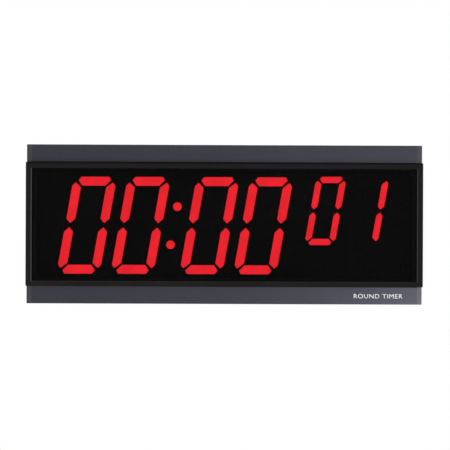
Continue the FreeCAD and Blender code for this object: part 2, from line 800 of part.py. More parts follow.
COVER_SCREWS = [(x, channel_z * side) for x in (-165, 0, 165) for side in SIDES]
cover_bore = 1.2
case_screw = screw(8)
node(group(*[copy(case_screw, half_w - cap_bore, y, z, "x") for y, z in CAP_HOLES],
           *[copy(case_screw, -half_w + cap_bore, y, z, "-x") for y, z in CAP_HOLES],
           *[copy(case_screw, x, back_y - cover_bore, z, "y") for x, z in COVER_SCREWS],
           *[copy(case_screw, x, y, under_z + tray_bore, "-z") for x, y in TRAY_SCREWS]),
     "case_screws")

# ---------------------------------------------------------------- rear cover
cover_x, cover_z = half_w - cap_thickness - 0.1, inner_z - 0.1
recess_y = back_y - recess_depth            # outer face of the recess floor
recess_in_y = recess_y - cover_thickness    # inner face of the recess floor
recess_x = recess_width / 2
recess_wall = 2
pan_x = recess_x + recess_wall
pan_z0, pan_z1 = recess_low_z - recess_wall, recess_top_z + recess_wall
slot_z = hook_z + plate_thickness           # top of the hook slots
BUMPERS = [(x, z) for x in (-188, 188) for z in (-62, 62)]
bumper_seat = 0.8
SPEAKER_SCREWS = [(speaker_x + x, z) for x in (-16.5, 16.5) for z in (-16.5, 16.5)]
hook_slots = [rect(*about(hook_x * side, hook_width / 2 + 1), slot_z - slot_height, slot_z)
              for side in SIDES]
vents = [rect(x - 1.2, x + 1.2, z, z + 11) for x in range(-95, 96, 10) for z in (57, -68)]
GRILLE = [(-2, 8), (-1, 11.5), (0, 12.5), (1, 11.5), (2, 8)]   # slot number, half height
grille = [rect(*about(speaker_x + 5 * i, 1.2), -half, half) for i, half in GRILLE]

cover = Piece("rear_cover")
cover.pad("xz", cover_in_y, back_y, [rect(-cover_x, cover_x, -cover_z, cover_z)])
cover.pad("xz", recess_in_y, cover_in_y + 0.5, [rect(-pan_x, pan_x, pan_z0, pan_z1)])
cover.pocket("xz", recess_y, back_y, [rect(-recess_x, recess_x, recess_low_z, recess_top_z)])
cover.pocket("xz", recess_in_y, recess_y, hook_slots)
cover.pocket("xz", cover_in_y, back_y, vents + grille,
             [(x, z, screw_hole) for x, z in COVER_SCREWS])
cover.pocket("xz", back_y - cover_bore, back_y, [],
             [(x, z, counterbore) for x, z in COVER_SCREWS])
cover.pocket("xz", back_y - bumper_seat, back_y, [], [(x, z, 5.1) for x, z in BUMPERS])
cover.pocket("xz", cover_in_y, cover_in_y + 1.65, [],
             [(x, z, pilot_radius) for x, z in SPEAKER_SCREWS])
cover.dress("Fillet", 3, along("y", x=[pan_x, -pan_x], z=[pan_z0, pan_z1]))
cover.done()

bumper = Piece("bumper")
bumper.revolve("xy", [(0, 0), (5.0, 0), (5.0, 1.3), (4.5, 1.8), (0, 1.8)])
foot = bumper.close()
node(group(*[copy(foot, x, back_y - bumper_seat, z) for x, z in BUMPERS]), "wall_bumpers")

# ---------------------------------------------------------------- wall plate
plate_x, plate_z = plate_width / 2, plate_height / 2
hook_half = hook_width / 2
hook_y1 = recess_in_y - 0.2                 # lip face next to the recess floor
hook_y0 = hook_y1 - plate_thickness
hook_tip_z = hook_z + plate_thickness + hook_lip

wall_plate = Piece("wall_plate")
hook_openings = [rect(*about(hook_x * side, hook_half), hook_z - 15, hook_z) for side in SIDES]
wall_plate.pad("xz", -plate_thickness, 0,
               [rect(-plate_x, plate_x, -plate_z, plate_z)] + hook_openings,
               [(plate_pitch_x / 2 * a, plate_pitch_z / 2 * b, plate_hole_radius)
                for a in SIDES for b in SIDES])
# side view of a hook as (y, z): forward from the plate, then up
hook = [(-plate_thickness, hook_z), (hook_y0, hook_z), (hook_y0, hook_tip_z),
        (hook_y1, hook_tip_z), (hook_y1, hook_z + plate_thickness),
        (-plate_thickness, hook_z + plate_thickness)]
for side in SIDES:
    wall_plate.pad("yz", *about(hook_x * side, hook_half), [hook])
wall_plate.dress("Fillet", 6, along("y", x=[plate_x, -plate_x], z=[plate_z, -plate_z]))
wall_plate.dress("Fillet", 1.2, along("x", y=hook_y0, z=hook_z))
wall_plate.done()

# ------------------------------------------------------------------- speaker
# Turned profiles are (radius, y), on the speaker's axis behind the grille.
flange_y0, flange_y1 = -4.2, -3
frame = Piece("speaker_frame")
frame.revolve("xy", [(16.8, flange_y1), (19, flange_y1), (19, flange_y0), (18.4, flange_y0),
                     (12.4, -11.5), (6.9, -11.5), (6.9, -10.5), (11.9, -10.5), (16.8, -4.6)])
basket = frame.close(speaker_x)
flange = cut(box(*about(speaker_x, 20), flange_y0, flange_y1, -20, 20),
             cyl(17.2, 3, speaker_x, -5, 0, "y"),
             *[cyl(screw_hole, 3, x, -5, z, "y") for x, z in SPEAKER_SCREWS])
terminal_block = box(speaker_x + 11, speaker_x + 16, -18.8, -10.6, -3, 3)
node(fuse(basket, flange, terminal_block), "speaker_basket")

SPEAKER_PARTS = [
    ("speaker_magnet", [(0, -17), (10.9, -17), (10.9, -11.5), (6.9, -11.5), (6.9, -15.4),
                        (5.6, -15.4), (5.6, -11), (0, -11)]),
    ("speaker_surround", [(15.35, -4.5), (16.8, -4.5), (16.8, -4.0), (16.5, -3.6),
                          (15.7, -3.6), (15.35, -4.0)]),
    ("speaker_cone", [(15.2, -4.0), (15.2, -4.5), (6.3, -9.6), (6.3, -13.4), (5.9, -13.4),
                      (5.9, -9.3), (3.2, -8.3), (0, -8.0), (0, -7.5), (3.4, -7.8),
                      (6.1, -8.9), (14.7, -4.0)]),
]
for name, profile in SPEAKER_PARTS:
    turned = Piece(name)
    turned.revolve("xy", profile)
    turned.done(speaker_x)

board_screw = screw(9)
speaker_screw = screw(2.8)
node(group(*[copy(board_screw, x, board_back_y, z, "y") for x, z in board_screws],
           *[copy(speaker_screw, x, flange_y0, z, "-y") for x, z in SPEAKER_SCREWS]),
     "inner_screws")

# -------------------------------------------------------------- control tray
floor_z0, floor_z1 = under_z + 4.3, under_z + 5.5   # pan floor, outer and inner face
pan_wall = 1.2
tray_gap = 0.1
pan_x0, pan_x1 = tray_x0 + tray_gap, tray_x1 - tray_gap
pan_y0, pan_y1 = tray_y0 + tray_gap, tray_y1 - tray_gap
rim_z = under_z + rail_skin                 # underside of the rim, on the rail's wall
FLOOR_PEGS = [(126.5, -29), (126.5, -18)]
BOARD_PEGS = TRAY_SCREWS[:2] + FLOOR_PEGS   # pegs that locate the control board
BUTTONS = [("mode_button", mode_x, button_radius), ("up_button", up_x, button_radius),
           ("down_button", down_x, button_radius), ("start_button", start_x, start_radius)]

tray = Piece("control_tray")
tray.pad("xy", under_z + tray_gap, floor_z1, [rect(pan_x0, pan_x1, pan_y0, pan_y1)])
tray.pad("xy", rim_z, rim_z + 1.2, [rect(3, 181, tray_y0 - 1.5, tray_y1 + 1.7)])
tray.pocket("xy", under_z, floor_z0, [rect(pan_x0 + pan_wall, pan_x1 - pan_wall,
                                           pan_y0 + pan_wall, pan_y1 - pan_wall)])
tray.pad("xy", rim_z + 1, control_low_z, [], [(x, y, 2.6) for x, y in TRAY_SCREWS[:2]])
tray.pad("xy", rim_z + 1, under_z + 10.2, [], [(x, y, 2.6) for x, y in TRAY_SCREWS[2:]])
tray.pad("xy", floor_z1 - 0.5, control_low_z, [], [(x, y, 1.9) for x, y in FLOOR_PEGS])
tray.pad("xy", control_low_z - 0.5, control_top_z, [], [(x, y, 1.0) for x, y in BOARD_PEGS])
tray.pocket("xy", rim_z, under_z + 9.6, [], [(x, y, pilot_radius) for x, y in TRAY_SCREWS])
tray.pocket("xy", floor_z0, floor_z1,
            [rect(*about(volume_x, 4.6), *about(tray_y, 2.5)),
             rect(*about(rocker_x, 7.75), *about(tray_y, 5.05))],
            [(x, tray_y, radius + running_clearance) for name, x, radius in BUTTONS]
            + [(inlet_x, tray_y, 4.0)])
tray.done()

control_board = Piece("control_board")
control_board.pad("xy", control_low_z, control_top_z, [rect(3.5, 130, -31.6, -15.9)])
control_board.pocket("xy", control_low_z, control_top_z, [], [(x, y, 1.1) for x, y in BOARD_PEGS])
control_board.done()

# ------------------------------------------------------- buttons and springs
switch_z = under_z + 8.6                    # lower face of the switch housings
coil_radius, wire_radius = 2.15, 0.19


def button(name, x, r):
    """A dished cap, a flange behind the pan floor and a stem in the switch."""
    piece = Piece(name)
    piece.revolve("xz", [(0, 1.15), (r - 1.4, 0.95), (r - 0.7, 0.7), (r, 1.2), (r, 5.5),
                         (r + 1.2, 5.5), (r + 1.2, 6.3), (1.5, 6.3), (1.5, 9.5), (0, 9.5)])
    piece.done(x, tray_y, under_z)


def switch_housing(x):
    return cut(box(*about(x, 3.5), *about(tray_y, 3.5), switch_z, control_low_z),
               cyl(1.55, 2.3, x, tray_y, switch_z))


def spring(name, x):
    coil = doc.addObject("Part::Helix", fresh("coil"))
    coil.Pitch = 0.76
    coil.Height = 1.9
    coil.Radius = coil_radius
    wire = doc.addObject("Part::Circle", fresh("wire"))
    wire.Radius = wire_radius
    wire.Placement = FreeCAD.Placement(V(coil_radius, 0, 0), AXES["-y"])
    sweep = doc.addObject("Part::Sweep", fresh("spring"))
    sweep.Sections = [wire]
    sweep.Spine = (coil, ["Edge1"])
    sweep.Solid = True
    sweep.Frenet = True
    node(place(sweep, x, tray_y, under_z + 6.5), name)


housings = []
for name, x, radius in BUTTONS:
    button(name, x, radius)
    housings.append(switch_housing(x))
    spring(name.replace("button", "spring"), x)
node(group(*housings), "switch_housings")

# --------------------------------------------- volume slider and its switch
volume_z = under_z + 7.8
node(cut(box(*about(volume_x, 8), *about(tray_y, 3.5), volume_z, control_low_z),
         box(*about(volume_x, 4.2), *about(tray_y, 1.55), volume_z - 1, volume_z + 2.2)),
     "volume_switch_body")
slider = Piece("volume_slider")
slider.pad("xy", 1.0, 6.0, [rect(-2.0, 2.0, -2.42, 2.42)])
slider.pad("xy", 5.58, 6.4, [rect(-2.0, 2.0, -3.3, 3.3)])
slider.pad("xy", 6.3, 9.9, [rect(-1.8, 1.8, -1.48, 1.48)])
slider.pocket("xy", 1.0, 1.6, [rect(*about(x, 0.2), -2.5, 2.5) for x in (-1.1, 0, 1.1)])
slider.done(volume_x, tray_y, under_z)

# ------------------------------------- power rocker, on a pin across its case
pin_z = under_z + 6.0
rocker_top_z = under_z + 12.6               # inner end of the switch body
panel_z = under_z + 3.5                     # lower face of the switch and inlet flanges
node(cut(fuse(box(*about(rocker_x, 8.4), *about(tray_y, 6.2), panel_z, floor_z0),
              box(*about(rocker_x, 7.7), *about(tray_y, 5), floor_z0 - 0.5, rocker_top_z)),
         box(*about(rocker_x, 6.8), *about(tray_y, 3.4), under_z + 3, under_z + 9.2),
         cyl(0.85, 9.2, rocker_x, tray_y - 4.6, pin_z, "y")), "power_switch_body")
rocker = Piece("power_rocker")
rocker.pad("xz", -3.3, 3.3, [[(-6.1, -3.7), (-4.6, -4.0), (0, -2.9), (4.6, -4.0), (6.1, -3.7),
                              (6.1, 1.2), (4.5, 1.7), (-4.5, 1.7), (-6.1, 1.2)]])
rocker.pad("xz", -4.5, 4.5, [], [(0, 0, 0.8)])
rocker.done(rocker_x, tray_y, pin_z)
rocker.body.Placement.Rotation = ROT(V(0, 1, 0), rocker_tilt.num)
rocker.body.setExpression("Placement.Rotation.Angle", "Dims.rocker_tilt * 1 deg")

# ------------------------------------------------- power inlet with its nut
inlet_length = 8.9
node(cut(fuse(cyl(5.4, 0.8, inlet_x, tray_y, panel_z),
              cyl(3.9, inlet_length, inlet_x, tray_y, panel_z)),
         cut(cyl(2.75, 8.5, inlet_x, tray_y, under_z + 2.5),
             cyl(1.05, 8.5, inlet_x, tray_y, under_z + 4.2))), "power_inlet")
nut_radius = 6.0                            # across the corners
corner_angles = [math.radians(60 * i + 30) for i in range(6)]
nut = Piece("inlet_nut")
nut.pad("xy", 5.5, 7.6,
        [[(nut_radius * math.cos(a), nut_radius * math.sin(a)) for a in corner_angles]],
        [(0, 0, 3.95)])
nut.done(inlet_x, tray_y, under_z)


# -------------------------------------------------------------------- wiring
def lead(points):
    """A round lead along (y, z) points at x = 0, starting upwards."""
    path = doc.addObject("Sketcher::SketchObject", fresh("lead_path"))
    path.Placement = FreeCAD.Placement(V(0, 0, 0), ROT(V(1, 1, 1), 120))
    drawing = Drawing()
    drawing.chain(points, closed=False)
    drawing.apply(path)
    ring = doc.addObject("Part::Circle", fresh("lead_ring"))
    ring.Radius = lead_radius.num
    bind(ring, "Radius", lead_radius)
    place(ring, 0, *points[0])
    sweep = doc.addObject("Part::Sweep", fresh("lead"))
    sweep.Sections = [ring]
    sweep.Spine = (path, ["Edge%d" % (i + 1) for i in range(len(points) - 1)])
    sweep.Solid = True
    sweep.Transition = "Round corner"
    return sweep


header_low_z, header_high_z = about(wire_header_z, wire_header_half_z)
inlet_lead = lead([(-21.2, panel_z + inlet_length), (-21.2, -65), (-18.0, -60),
                   (-20.4, -54), (-20.4, header_low_z)])
switch_lead = lead([(-20.2, rocker_top_z), (-20.2, -65), (-17.4, -60),
                    (-20.4, -54), (-20.4, header_low_z)])
speaker_lead = lead([(-17.2, header_high_z), (-17.2, -36), (-13.6, -28),
                     (-13.6, -12), (-17.2, -8), (-17.2, -3)])
# each lead, the middle of its pair, and half the distance between the two
LEAD_PAIRS = [(inlet_lead, inlet_x, 1.3), (switch_lead, rocker_x, 3),
              (speaker_lead, speaker_header_x, 1.1)]
node(group(*[copy(source, x, 0, 0) for source, middle, half in LEAD_PAIRS
             for x in about(middle, half)]), "wire_leads")


def band(points, thickness):
    """Outline of a flat strip, with mitred bends, along a centre line."""
    sides = ([], [])
    for i, (x, y) in enumerate(points):
        normals = []
        for a, b in zip(points[max(i - 1, 0):i + 1], points[max(i, 1):i + 2]):
            run, rise = b[0] - a[0], b[1] - a[1]
            length = math.hypot(run, rise)
            normals.append((-rise / length, run / length))
        mean_x = sum(n[0] for n in normals) / len(normals)
        mean_y = sum(n[1] for n in normals) / len(normals)
        square = mean_x * mean_x + mean_y * mean_y
        for line, half in zip(sides, (0.5, -0.5)):
            line.append((x + thickness * (half * mean_x / square),
                         y + thickness * (half * mean_y / square)))
    return sides[0] + sides[1][::-1]


# centre line as (y, z), from the control board's header to the display board's
RIBBON_PATH = [(-19.25, control_top_z.num + control_header_height), (-19.25, -61.5),
               (-13.8, -56.5), (-13.8, -51.6), (-15.4, ribbon_z),
               (board_back_y.num + ribbon_header_height, ribbon_z)]
ribbon = Piece("ribbon_cable")
ribbon.pad("yz", *about(ribbon_x, 9), [band(RIBBON_PATH, ribbon_thickness)])
ribbon.done()

# -------------------------------------------------------------------- output
doc.recompute()
for obj in doc.Objects:
    if any(word in obj.State for word in ("Invalid", "Error")):
        raise RuntimeError("%s (%s) is %s" % (obj.Label, obj.Name, obj.State))
for feature, before, grows in features:
    change = feature.Shape.Volume - (before.Shape.Volume if before is not None else 0.0)
    if grows and not change > 1e-3:
        raise RuntimeError("%s adds nothing" % feature.Name)
    if not grows and not change < -1e-3:
        raise RuntimeError("%s removes nothing" % feature.Name)
if len({label for label, obj in nodes}) != len(nodes):
    raise RuntimeError("a node name is used twice")
for label, obj in nodes:
    shape = obj.Shape
    if shape.isNull() or not shape.isValid():
        raise RuntimeError("%s has no valid shape" % label)
    if not shape.Solids or shape.Volume <= 0:
        raise RuntimeError("%s is not solid" % label)

os.makedirs("parts", exist_ok=True)
for label, obj in nodes:
    obj.Shape.exportStep("parts/%s.step" % label)
print("%d nodes written" % len(nodes))
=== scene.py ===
import json
import math

import bmesh
import bpy
from mathutils import Matrix, Vector


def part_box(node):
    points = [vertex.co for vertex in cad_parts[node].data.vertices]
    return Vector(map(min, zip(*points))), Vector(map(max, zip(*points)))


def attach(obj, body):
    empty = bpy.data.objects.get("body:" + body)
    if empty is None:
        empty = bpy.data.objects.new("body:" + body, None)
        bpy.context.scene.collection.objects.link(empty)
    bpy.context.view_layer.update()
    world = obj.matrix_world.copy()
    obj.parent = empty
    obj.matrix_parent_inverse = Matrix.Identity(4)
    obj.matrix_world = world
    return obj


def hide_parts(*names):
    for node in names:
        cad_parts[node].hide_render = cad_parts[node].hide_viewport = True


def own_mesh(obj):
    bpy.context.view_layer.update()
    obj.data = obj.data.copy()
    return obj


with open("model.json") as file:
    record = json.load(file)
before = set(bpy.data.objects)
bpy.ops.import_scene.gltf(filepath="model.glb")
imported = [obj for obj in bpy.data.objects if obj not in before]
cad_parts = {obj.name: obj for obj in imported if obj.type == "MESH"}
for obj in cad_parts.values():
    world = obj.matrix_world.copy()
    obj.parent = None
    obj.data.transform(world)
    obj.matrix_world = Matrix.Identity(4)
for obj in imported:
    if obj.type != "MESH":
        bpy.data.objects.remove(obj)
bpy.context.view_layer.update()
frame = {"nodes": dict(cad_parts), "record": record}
pieces = frame["nodes"]

MM = 0.001

# bezel and digits
BEZEL_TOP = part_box("front_bezel")[1].z - 3.0 * MM  # visible rim; the flange behind is 3 mm taller
DIGIT_SLANT = 0.1763  # sideways lean per unit of height
PAD_PITCH = 2.54 * MM

# return springs; the heights are above the button's lower face
SPRING_FOOT = 5.62 * MM
SPRING_TOP = 7.88 * MM
SPRING_RADIUS = 2.15 * MM
SPRING_WIRE = 0.19 * MM  # wire radius
SPRING_TURNS = 3.2

# printed marks
MARK_THICK = 0.05 * MM
MARK_SINK = 0.01 * MM
VOLUME_MARK_Y = -17.8 * MM
VOLUME_MARK_THICK = 0.06 * MM
PAN_RISE = 4.3 * MM  # pan underside above the bottom of the lower rail
ROCKER_PIVOT = Vector((0.140, -0.02375, -0.0765))
ROCKER_TILT = math.radians(9)
PADDLE_SLOPE = math.atan2(1.1, 4.6)
PADDLE_DROP = 2.9  # mm, paddle face below the pivot at its middle
PADDLE_MARK_REACH = 2.6  # mm from the middle to each mark

# camera
CAMERA_DISTANCE = 3.6
VIEW_WIDTH = 467.01 * MM
SENSOR_WIDTH = 36.0


# ------------------------------------------------------------ shader helpers
def put(tree, socket, value):
    """Feeds an input with another node's output or with a plain value."""
    if isinstance(value, bpy.types.NodeSocket):
        tree.links.new(value, socket)
    else:
        socket.default_value = value


def add(tree, kind, inputs=None, **settings):
    node = tree.nodes.new("ShaderNode" + kind)
    for name, value in settings.items():
        setattr(node, name, value)
    for key, value in (inputs or {}).items():
        put(tree, node.inputs[key], value)
    return node


def object_coords(tree):
    return add(tree, "TexCoord").outputs["Object"]


def noise(tree, coords, scale, stretch=(1, 1, 1), detail=3.0):
    mapped = add(tree, "Mapping", {"Scale": stretch, "Vector": coords}).outputs["Vector"]
    return add(tree, "TexNoise", {"Scale": scale, "Detail": detail, "Roughness": 0.55,
                                  "Vector": mapped}).outputs["Fac"]


def ranged(tree, value, to, over=(0.3, 0.7)):
    """Maps the span `over` to the span `to`, clamped at both ends."""
    return add(tree, "MapRange", {"From Min": over[0], "From Max": over[1], "To Min": to[0],
                                  "To Max": to[1], "Value": value}).outputs["Result"]


def calc(tree, operation, *terms):
    return add(tree, "Math", dict(enumerate(terms)), operation=operation).outputs[0]


def mix_colour(tree, factor, first, second):
    node = add(tree, "Mix", {"Factor": factor}, data_type="RGBA")
    for index, colour in ((6, first), (7, second)):  # the colour sockets A and B
        put(tree, node.inputs[index], (*colour, 1.0) if isinstance(colour, tuple) else colour)
    return node.outputs[2]


def edge_facing(tree, radius, samples, normal):
    """1 on flats, falling towards the edges."""
    bevel = add(tree, "Bevel", {"Radius": radius}, samples=samples)
    geometry = add(tree, "NewGeometry")
    dot = add(tree, "VectorMath", {0: bevel.outputs["Normal"], 1: geometry.outputs[normal]},
              operation="DOT_PRODUCT")
    return dot.outputs["Value"]


def bump_normal(tree, shader, height, strength, distance, edge=0):
    """Relief on the shader's normal, over edges softened by the radius `edge`."""
    bump = add(tree, "Bump", {"Strength": strength, "Distance": distance, "Height": height})
    if edge:
        bevel = add(tree, "Bevel", {"Radius": edge}, samples=4)
        put(tree, bump.inputs["Normal"], bevel.outputs["Normal"])
    put(tree, shader.inputs["Normal"], bump.outputs["Normal"])


def new_material(name):
    material = bpy.data.materials.new(name)
    material.use_nodes = True
    return material, material.node_tree, material.node_tree.nodes["Principled BSDF"]


def scaled(colour, factor):
    return tuple(channel * factor for channel in colour)


# ---------------------------------------------------------------- materials
def surface(name, colour, rough, metal=0.0, spec=0.5, vary=0.10, rough_vary=0.10, patch=18.0,
            grain=1500.0, stretch=(1, 1, 1), bump=0.2, depth=0.05 * MM, edge=0.25 * MM,
            coat=0.0, wear=None, mottle=None):
    """A moulded, painted or metal finish of slow patches and fine grain.

    vary, rough_vary: swing of colour (relative) and roughness. patch, grain: noise scales.
    stretch: scales the grain per axis. bump, depth: relief strength and height.
    edge: radius of softened edges. wear: colour rubbed through there. mottle: blotches.
    """
    material = bpy.data.materials.new(name)
    material.use_nodes = True
    tree = material.node_tree
    tree.nodes.clear()
    output = add(tree, "OutputMaterial")
    shader = add(tree, "BsdfPrincipled")
    put(tree, output.inputs["Surface"], shader.outputs["BSDF"])
    coords = object_coords(tree)
    slow = noise(tree, coords, scale=patch, detail=4.0)
    fine = noise(tree, coords, scale=grain, stretch=stretch)
    both = calc(tree, "ADD", calc(tree, "MULTIPLY", slow, 0.45),
                calc(tree, "MULTIPLY", fine, 0.55))
    tint = mix_colour(tree, ranged(tree, both, to=(0.0, 1.0)),
                      scaled(colour, 1 - vary), scaled(colour, 1 + vary))
    if mottle:
        blotches = noise(tree, coords, scale=mottle["scale"], detail=5.0)
        amount = ranged(tree, blotches, to=(0.0, mottle["amount"]), over=(0.45, 0.7))
        tint = mix_colour(tree, amount, tint, mottle["colour"])
    if wear:
        facing = edge_facing(tree, radius=0.6 * MM, samples=4, normal="Normal")
        rub = ranged(tree, facing, to=(0.55, 0.0), over=(0.90, 0.995))
        broken = ranged(tree, noise(tree, coords, scale=160.0, detail=5.0),
                        to=(0.0, 1.0), over=(0.45, 0.6))
        tint = mix_colour(tree, calc(tree, "MULTIPLY", rub, broken), tint, wear)
    put(tree, shader.inputs["Base Color"], tint)
    put(tree, shader.inputs["Roughness"],
        ranged(tree, both, to=(rough - rough_vary, rough + rough_vary)))
    shader.inputs["Metallic"].default_value = metal
    shader.inputs["Specular IOR Level"].default_value = spec
    if coat:
        shader.inputs["Coat Weight"].default_value = coat
        shader.inputs["Coat Roughness"].default_value = 0.08
    bump_normal(tree, shader, fine, strength=bump, distance=depth, edge=edge)
    return material


def base_colour(material):
    """The base colour input and what feeds it now."""
    socket = material.node_tree.nodes["Principled BSDF"].inputs["Base Color"]
    return socket, socket.links[0].from_socket


def paint_gap_shade(material, z_low, z_high, colour):
    """Painted shade: darkens the bezel's base colour over its top rim, in place of the shadowed gap
    where the upper rail meets the bezel.
    """
    tree = material.node_tree
    socket, under = base_colour(material)
    split = add(tree, "SeparateXYZ")
    put(tree, split.inputs[0], object_coords(tree))
    height = ranged(tree, split.outputs["Z"], to=(0.0, 1.0), over=(z_low, z_high))
    put(tree, socket, mix_colour(tree, height, under, colour))


def board_print(material, pitch, pad_half, pad_rarity, copper_colour, pad_colour):
    """Copper areas that show through the green mask, and tinned square pads on a grid.

    pad_half: half a pad's side, in pitches. pad_rarity: share of cells without a pad.
    """
    tree = material.node_tree
    socket, under = base_colour(material)
    coords = object_coords(tree)
    snap = add(tree, "VectorMath", {0: coords, 1: (pitch / 3,) * 3}, operation="SNAP")
    copper = ranged(tree, noise(tree, snap.outputs[0], scale=90.0, detail=2.0),
                    to=(0.0, 0.8), over=(0.50, 0.53))
    tint = mix_colour(tree, copper, under, copper_colour)
    split = add(tree, "SeparateXYZ", {0: coords})
    cell = add(tree, "CombineXYZ")
    across = calc(tree, "ADD", split.outputs["Y"], split.outputs["Z"])
    inside = []
    for i, along in enumerate((split.outputs["X"], across)):
        along = calc(tree, "DIVIDE", along, pitch)
        put(tree, cell.inputs[i], calc(tree, "FLOOR", along))
        offset = calc(tree, "SUBTRACT", calc(tree, "FRACT", along), 0.5)
        inside.append(calc(tree, "LESS_THAN", calc(tree, "ABSOLUTE", offset), pad_half))
    dice = add(tree, "TexWhiteNoise", noise_dimensions="2D")
    put(tree, dice.inputs["Vector"], cell.outputs[0])
    pads = calc(tree, "MULTIPLY", calc(tree, "MULTIPLY", *inside),
                calc(tree, "GREATER_THAN", dice.outputs["Value"], pad_rarity))
    put(tree, socket, mix_colour(tree, pads, tint, pad_colour))


def smoked_lens():
    """Smoked acrylic: nearly black, lets the lit segments through, polished."""
    material, tree, shader = new_material("lens_smoked")
    smear = noise(tree, object_coords(tree), scale=14.0, detail=5.0)
    tint = mix_colour(tree, ranged(tree, smear, to=(0.0, 1.0)),
                      (0.0028, 0.0026, 0.0026), (0.0039, 0.0036, 0.0036))
    put(tree, shader.inputs["Base Color"], tint)
    put(tree, shader.inputs["Roughness"], ranged(tree, smear, to=(0.20, 0.26)))
    shader.inputs["Specular IOR Level"].default_value = 0.20
    shader.inputs["Alpha"].default_value = 0.42
    bump_normal(tree, shader, smear, strength=0.05, distance=0.1 * MM)
    return material


def lit_segment(colour, strength):
    """A lit diffuser: red plastic glowing from the chips behind it, dimmer at its rim."""
    material, tree, shader = new_material("segment_lit")
    coords = object_coords(tree)
    haze = noise(tree, coords, scale=70.0, detail=2.0)
    fine = noise(tree, coords, scale=1500.0, detail=2.0)
    glow = mix_colour(tree, ranged(tree, haze, to=(0.0, 1.0)),
                      scaled(colour, 0.94), scaled(colour, 1.06))
    plastic = mix_colour(tree, ranged(tree, fine, to=(0.0, 1.0)),
                         (0.30, 0.010, 0.012), (0.36, 0.014, 0.016))
    put(tree, shader.inputs["Base Color"], plastic)
    put(tree, shader.inputs["Emission Color"], glow)
    facing = edge_facing(tree, radius=0.9 * MM, samples=6, normal="True Normal")
    rim = ranged(tree, facing, to=(0.30, 1.0), over=(0.75, 0.97))
    level = ranged(tree, haze, to=(strength * 0.97, strength * 1.03))
    put(tree, shader.inputs["Emission Strength"], calc(tree, "MULTIPLY", level, rim))
    put(tree, shader.inputs["Roughness"], ranged(tree, fine, to=(0.32, 0.45)))
    bump_normal(tree, shader, fine, strength=0.15, distance=0.03 * MM)
    return material


